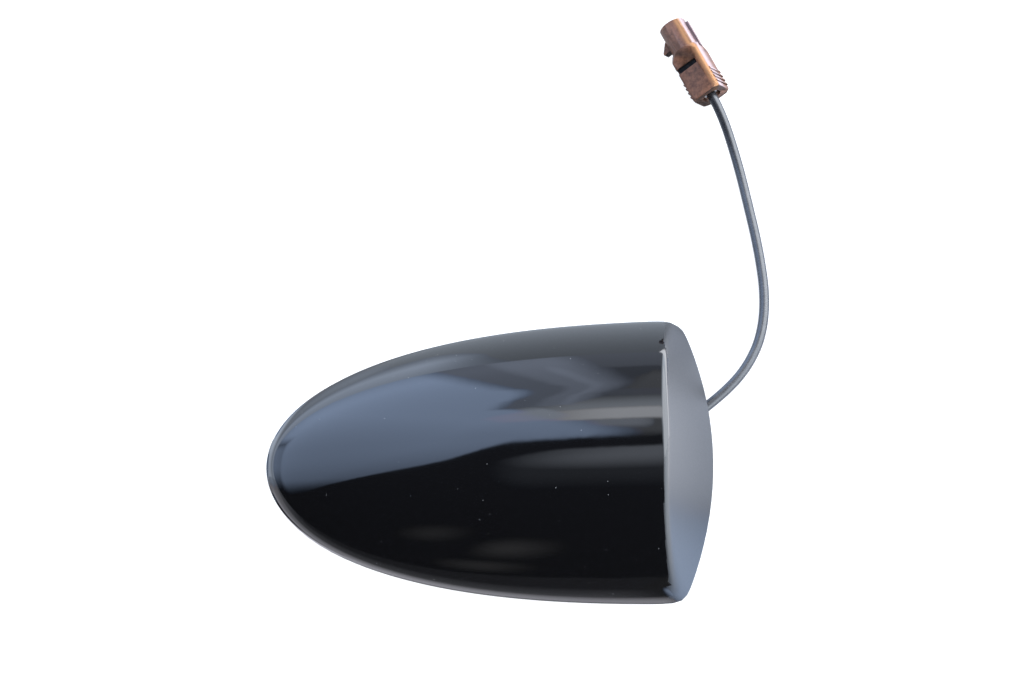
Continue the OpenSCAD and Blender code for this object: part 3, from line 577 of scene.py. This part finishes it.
cover = mould_cover()
smooth(cover, 40)
finish_piece(cover, gloss_black_abs(), "gloss_black_plastic", "radome")
cover.data.materials.append(satin_black_abs())
face_satin(cover, 1)

lead.data.materials.append(pvc_jacket("pvc_cable_jacket"))
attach(lead, "root")
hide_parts("coax_lead")

PLUG_EDGE = 0.18   # mm
housing = dressed_copy("plug_housing", "plug_shell", PLUG_EDGE)
finish_piece(housing, moulded_brown_pbt(), "brown_plastic", "plug_housing")

cast = worked_metal("die_cast_zinc", "#747476", "#a9a9aa", 0.5, 0.45, depth=0.06)
rubber = moulded_plastic("moulded_seal_rubber", "#161617", "#29292a", 5.0, 0.66, grain=0.4)
tinned = worked_metal("tin_plated_sheet", "#a3a29d", "#cbcac5", 0.33, 0.5, along=(1.0, 0.12, 1.0))
turned = worked_metal("gold_over_nickel", "#c2913f", "#e6c07a", 0.24, 0.3, along=(1.0, 1.0, 0.2))
zinc = worked_metal("zinc_plated_steel", "#8f9196", "#c3c4c8", 0.3, 0.3, along=(1.0, 1.0, 0.2))
NODE_FINISH = {
    "base_plate": cast, "roof_boss": cast, "roof_seal": rubber, "inner_seal": rubber, "cable_grommet": rubber,
    "circuit_board": solder_mask_board(), "ceramic_patch": silvered_ceramic(), "patch_tape": foam_tape(),
    "shield_can": tinned, "cable_clip": tinned, "plug_outer_contact": tinned, "plug_crimp_ferrule": tinned,
    "feed_pin": turned, "plug_centre_pin": turned, "board_screws": zinc, "radome_screws": zinc,
    "board_components": moulded_plastic("moulded_epoxy", "#1b1b1c", "#2e2c2a", 0.8, 0.5, grain=0.15),
    "coax_tail": pvc_jacket("pvc_tail_jacket"),
    "plug_lock": moulded_plastic("moulded_black_pbt", "#060607", "#0c0c0d", 1.5, 0.7, index=1.2),
    "plug_insulator": moulded_plastic("turned_ptfe", "#d9d8d2", "#efefea", 1.2, 0.45, streak=0.3)}
for node, material in NODE_FINISH.items():
    data = frame["nodes"][node].data
    data.materials.clear()
    data.materials.append(material)


# Table and room light

NOSE_SIDE, NOSE_LEN = 20.0, 90.0
WINDOW_TURN = math.radians(112.7)


def glow(tree, code, strength, *limits):
    """A colour times a strength, faded in smoothly between the limits of each value, either way round."""
    level = strength
    for value, low, high in limits:
        share = add(tree, "ShaderNodeMapRange", {"Value": value, "From Min": low, "From Max": high},
                    interpolation_type="SMOOTHSTEP")
        level = add(tree, "ShaderNodeMath", {0: share, 1: level}, operation="MULTIPLY")
    return add(tree, "ShaderNodeVectorMath", {0: srgb(code)[:3], "Scale": level}, operation="SCALE")


def brightest(tree, start, lights):
    """The brightest of all the lights at each place, channel by channel."""
    for light in lights:
        start = add(tree, "ShaderNodeVectorMath", {0: start, 1: light}, operation="MAXIMUM")
    return start


def lay_table():
    """White paper: plain white to the camera; in gloss it shows painted light and shadow, bright as daylight
    would leave it on each side and darker close to the cover.
    """
    bpy.ops.mesh.primitive_plane_add(size=8.0, location=(0, 0, 0))
    table = bpy.context.object
    table.name = "white_table"
    material, tree = new_material("white_paper")
    path = add(tree, "ShaderNodeLightPath")
    mirrored = add(tree, "ShaderNodeMath", {
        0: path.outputs["Is Glossy Ray"], 1: path.outputs["Is Transmission Ray"]}, operation="MAXIMUM")
    place = add(tree, "ShaderNodeTexCoord").outputs["Object"]
    spot = add(tree, "ShaderNodeSeparateXYZ", {
        0: add(tree, "ShaderNodeVectorMath", {0: place, "Scale": 1 / MM}, operation="SCALE")})
    x, y = spot.outputs[0], spot.outputs[1]
    # away: about 1 along the cover's outline, growing outwards; turn: the bearing from the bolt, in degrees
    rim = add(tree, "ShaderNodeVectorMath", {
        0: add(tree, "ShaderNodeCombineXYZ", {
            0: add(tree, "ShaderNodeMath", {0: x, 1: NOSE_SIDE}, operation="MINIMUM"), 1: y}),
        1: (-NOSE_SIDE, 0.0, 0.0)}, operation="ADD")
    away = add(tree, "ShaderNodeVectorMath", {
        0: rim, 1: (1 / NOSE_LEN, 2 / COVER_W, 0.0)}, operation="MULTIPLY")
    away = add(tree, "ShaderNodeVectorMath", {0: away}, operation="LENGTH").outputs["Value"]
    turn = add(tree, "ShaderNodeMath", {0: y, 1: x}, operation="ARCTAN2")
    turn = add(tree, "ShaderNodeMath", {0: turn, 1: 180 / math.pi}, operation="MULTIPLY")
    # painted light for gloss: the first pools lie round the nose and along the far side, then the near side,
    # then behind the cover; several fade towards the cover's outline, a painted shadow there
    painted_floor_light = brightest(tree, (0.16, 0.16, 0.165), [
        glow(tree, "#d6e6ff", 3.2, (turn, 94, 117), (away, 1.1, 3.6)),
        glow(tree, "#d6e6ff", 2.1, (turn, -166, -180), (away, 1.0, 1.6)),
        glow(tree, "#dceaff", 2.9, (turn, 146, 168), (away, 0.95, 1.5), (away, 3.4, 1.9)),
        glow(tree, "#dceaff", 1.5, (turn, 104, 135), (away, 0.9, 2.0)),
        glow(tree, "#d8e4f4", 1.25, (y, 34, 62)),
        glow(tree, "#eef2ff", 0.75, (turn, -140, -166), (away, 0.9, 1.3)),
        glow(tree, "#f4f4ff", 1.25, (y, -68, -43), (y, 20, -20), (x, 62, 45)),
        glow(tree, "#f2f4ff", 0.5, (y, -250, -62), (x, 60, 20)),
        glow(tree, "#f2f4ff", 0.18, (x, 60, 20)),
        glow(tree, "#dce8ff", 1.9, (y, 27, 52), (x, 50, 66), (y, 300, 80)),
        glow(tree, "#dfeaff", 2.2, (y, -42, 0), (x, 46, 62), (y, 60, 30)),
        glow(tree, "#dfeaff", 3.5, (y, -42, 0), (x, 66, 96), (y, 60, 30)),
        glow(tree, "#c6dcff", 3.6, (y, 12, -40), (x, 46, 62), (y, -200, -110)),
        glow(tree, "#c6dcff", 5.6, (y, 12, -40), (x, 66, 96), (y, -200, -110)),
        glow(tree, "#f2f8ff", 6.0, (x, 98, 165), (y, -560, -380)),
        glow(tree, "#f4f7ff", 8.0, (x, 96, 138), (y, -40, 0)),
    ])
    # the camera sees glowing white with a little diffuse in it, which keeps the soft shadow under the cover
    paper = add(tree, "ShaderNodeBsdfDiffuse", {"Color": (0.8, 0.8, 0.8, 1)})
    faint = add(tree, "ShaderNodeBsdfDiffuse", {"Color": (0.25, 0.25, 0.25, 1)})
    white = add(tree, "ShaderNodeAddShader", {
        0: faint, 1: add(tree, "ShaderNodeEmission", {"Color": (1, 1, 1, 1), "Strength": 0.9})})
    seen = add(tree, "ShaderNodeMixShader", {0: path.outputs["Is Camera Ray"], 1: paper, 2: white})
    # painted reflection: what gloss mirrors of the paper is this painted light and shadow
    painted_floor_glow = add(tree, "ShaderNodeEmission", {"Color": painted_floor_light, "Strength": 1.0})
    close_material(tree, add(tree, "ShaderNodeMixShader", {0: mirrored, 1: seen, 2: painted_floor_glow}))
    table.data.materials.append(material)


def light_room():
    """Daylight room: a tall bluish window ahead with a dark post beside it, a bright strip over it, a dim
    ceiling, a second broad window to the right, and almost dark behind. The camera sees plain white."""
    world = bpy.data.worlds.new("daylight_room")
    bpy.context.scene.world = world
    world.use_nodes = True
    tree = world.node_tree
    tree.nodes.clear()
    # heading: degrees to the right of straight ahead; zenith: degrees from straight up
    way = add(tree, "ShaderNodeTexCoord").outputs["Generated"]
    ahead = add(tree, "ShaderNodeVectorRotate", {
        "Vector": way, "Angle": -WINDOW_TURN}, rotation_type="Z_AXIS")
    ahead = add(tree, "ShaderNodeSeparateXYZ", {0: ahead})
    heading = add(tree, "ShaderNodeMath", {0: ahead.outputs[1], 1: ahead.outputs[0]}, operation="ARCTAN2")
    heading = add(tree, "ShaderNodeMath", {0: heading, 1: -180 / math.pi}, operation="MULTIPLY")
    height = ahead.outputs[2]
    zenith = add(tree, "ShaderNodeMath", {0: height}, operation="ARCCOSINE")
    zenith = add(tree, "ShaderNodeMath", {0: zenith, 1: 180 / math.pi}, operation="MULTIPLY")
    # wx and wy: the place over the cover where a way meets a ceiling one unit up
    over = add(tree, "ShaderNodeMath", {0: height, 1: 0.05}, operation="MAXIMUM")
    plan = add(tree, "ShaderNodeSeparateXYZ", {0: way})
    wx = add(tree, "ShaderNodeMath", {0: plan.outputs[0], 1: over}, operation="DIVIDE")
    wy = add(tree, "ShaderNodeMath", {0: plan.outputs[1], 1: over}, operation="DIVIDE")
    # beyond: how far a place is past the window's upper edge, which slants and then steps up
    low_edge = add(tree, "ShaderNodeMath", {0: wx, 1: 0.465, 2: 0.379}, operation="MULTIPLY_ADD")
    low_edge = add(tree, "ShaderNodeMath", {0: low_edge, 1: 0.104}, operation="MINIMUM")
    step = add(tree, "ShaderNodeMapRange", {
        "Value": wx, "From Min": -0.62, "From Max": -0.36, "To Max": 0.182}, interpolation_type="SMOOTHSTEP")
    lintel = add(tree, "ShaderNodeMath", {0: low_edge, 1: step}, operation="ADD")
    beyond = add(tree, "ShaderNodeMath", {0: wy, 1: lintel}, operation="SUBTRACT")
    slant = add(tree, "ShaderNodeMath", {0: wx, 1: -0.75, 2: wy}, operation="MULTIPLY_ADD")
    # beside the window: the heading on the wall, and lines that run straight towards it on the ceiling
    on_wall = add(tree, "ShaderNodeMapRange", {"Value": zenith, "From Min": 45.0, "From Max": 57.0})
    near = add(tree, "ShaderNodeMapRange", {"Value": wy, "From Min": 0.7, "From Max": 0.56})
    on_wall = add(tree, "ShaderNodeMath", {0: on_wall, 1: near}, operation="MAXIMUM")
    post = add(tree, "ShaderNodeMath", {0: wx, 1: 57.0, 2: 27.2}, operation="MULTIPLY_ADD")
    aside = add(tree, "ShaderNodeMath", {0: heading, 1: 0.3, 2: 3.2}, operation="MULTIPLY_ADD")
    aside = add(tree, "ShaderNodeMix", {"Factor": near, "A": heading, "B": aside})
    post = add(tree, "ShaderNodeMix", {"Factor": on_wall, "A": post, "B": aside})
    # the right window starts along a line that leans over the ceiling
    past = add(tree, "ShaderNodeMath", {0: wy, 1: 0.0}, operation="MAXIMUM")
    lean = add(tree, "ShaderNodeMath", {0: wy, 1: 0.25, 2: wx}, operation="MULTIPLY_ADD")
    lean = add(tree, "ShaderNodeMath", {0: past, 1: 0.35, 2: lean}, operation="MULTIPLY_ADD")
    pane = add(tree, "ShaderNodeMapRange", {
        "Value": heading, "From Min": -82.0, "From Max": -22.0, "To Min": 1.95, "To Max": 5.5})
    dimmer = add(tree, "ShaderNodeMapRange", {
        "Value": beyond, "From Min": 0.0, "From Max": 0.24, "To Min": 0.86, "To Max": 1.0})
    pane = add(tree, "ShaderNodeMath", {0: pane, 1: dimmer}, operation="MULTIPLY")
    in_window, before_post = (beyond, -0.015, 0.02), (post, 5.2, -1.4)
    past_lintel = (wy, 0.5, 0.62)
    window = [
        glow(tree, "#c0d8ff", pane, in_window, (heading, -46, -34), before_post, (zenith, 112, 76)),
        glow(tree, "#c0d8ff", pane, in_window, (heading, -85, -68), before_post, (zenith, 83, 74)),
        glow(tree, "#c0d8ff", 2.7, in_window, (heading, -80, -54), (heading, -36, -46), (zenith, 112, 84)),
        glow(tree, "#e0ecff", 4.6, (wy, 0.36, 0.46), (heading, -34, -16), (heading, -2, -6),
             (zenith, 42, 34)),
    ]
    beside_the_post = [
        glow(tree, "#d6e4ff", 1.95, past_lintel, (post, -4.5, 1), (post, 16.5, 11), (zenith, 118, 80)),
        glow(tree, "#d6e4ff", 2.7, past_lintel, (post, 2.8, 8), (post, 17, 11.2), (zenith, 118, 80)),
        glow(tree, "#d6e4ff", 3.5, past_lintel, (post, 6, 11), (post, 15.2, 10), (zenith, 110, 70)),
    ]
    far_wall = [
        glow(tree, "#dce8ff", 0.7, (wy, 0.27, 0.34), (heading, 5, 10), (heading, 110, 70)),
        glow(tree, "#dce8ff", 1.2, (wy, 0.5, 0.6), (wy, 1.25, 1.05), (heading, 5, 10), (heading, 60, 40)),
        glow(tree, "#dce8ff", 1.25, (zenith, 68, 76), (heading, 5, 10), (heading, 60, 40)),
    ]
    strip_over_window = [
        glow(tree, "#eef4ff", 1.05, (wy, 0.265, 0.31), (wx, -0.30, -0.16), (height, 0.2, 0.5)),
        glow(tree, "#e2ecff", 2.9, (wy, 0.28, 0.36), (wy, 0.5, 0.42), (wx, -0.34, -0.2), (wx, -0.05, -0.14),
             (height, 0.2, 0.5)),
        glow(tree, "#f2f6ff", 5.8, (wy, 0.375, 0.435), (wy, 0.66, 0.54), (wx, -0.50, -0.16), (wx, 3.0, 2.0),
             (height, 0.2, 0.4)),
        glow(tree, "#e6f0ff", 3.6, (wy, 0.40, 0.5), (wy, 1.05, 0.55), (wx, -0.50, -0.25), (wx, 0.6, 0.3),
             (height, 0.2, 0.4)),
    ]
    ceiling = [
        glow(tree, "#e6efff", 1.85, (zenith, 26, 10), (wy, -0.16, 0.12), (slant, 0.435, 0.375),
             (wx, -0.46, -0.33), (wy, 0.215, 0.175), (wx, 0.6, 0.3), (height, 0.3, 0.4)),
        glow(tree, "#e6efff", 0.3, (slant, 0.435, 0.375), (wx, -0.46, -0.33), (wy, 0.1, 0.0),
             (wy, -0.5, -0.1), (height, 0.3, 0.4)),
    ]
    right_window = [
        glow(tree, "#e6f1ff", 5.0, (heading, 30, 40), (heading, 160, 150), (lean, 0.24, 0.4)),
        glow(tree, "#e6f1ff", 7.4, (heading, 178, 171), (heading, 29, 42), (lean, 0.36, 0.64)),
        glow(tree, "#eef5ff", 10.0, (heading, 36, 46), (heading, 122, 100), (lean, 0.34, 0.5),
             (zenith, 92, 74)),
    ]
    faint_behind = [
        glow(tree, "#ffffff", 0.4, (heading, -147, -139), (heading, -133, -139), (zenith, 62, 74),
             (zenith, 84, 73)),
        glow(tree, "#ffffff", 0.31, (heading, -146, -138), (heading, -129, -138), (zenith, 80, 85),
             (zenith, 91, 85)),
        glow(tree, "#ffffff", 0.27, (heading, -135, -126), (heading, -118, -127), (zenith, 55, 66),
             (zenith, 77, 66)),
    ]
    sky = brightest(tree, (0.05, 0.05, 0.055), window + beside_the_post + far_wall + strip_over_window
                    + ceiling + right_window + faint_behind)
    room = add(tree, "ShaderNodeBackground", {"Color": sky, "Strength": 1.0})
    white = add(tree, "ShaderNodeBackground", {"Color": (1, 1, 1, 1), "Strength": 1.0})
    seen = add(tree, "ShaderNodeLightPath").outputs["Is Camera Ray"]
    shown = add(tree, "ShaderNodeMixShader", {0: seen, 1: room, 2: white})
    add(tree, "ShaderNodeOutputWorld", {"Surface": shown})


lay_table()
light_room()
bpy.context.scene.view_settings.view_transform = "Standard"
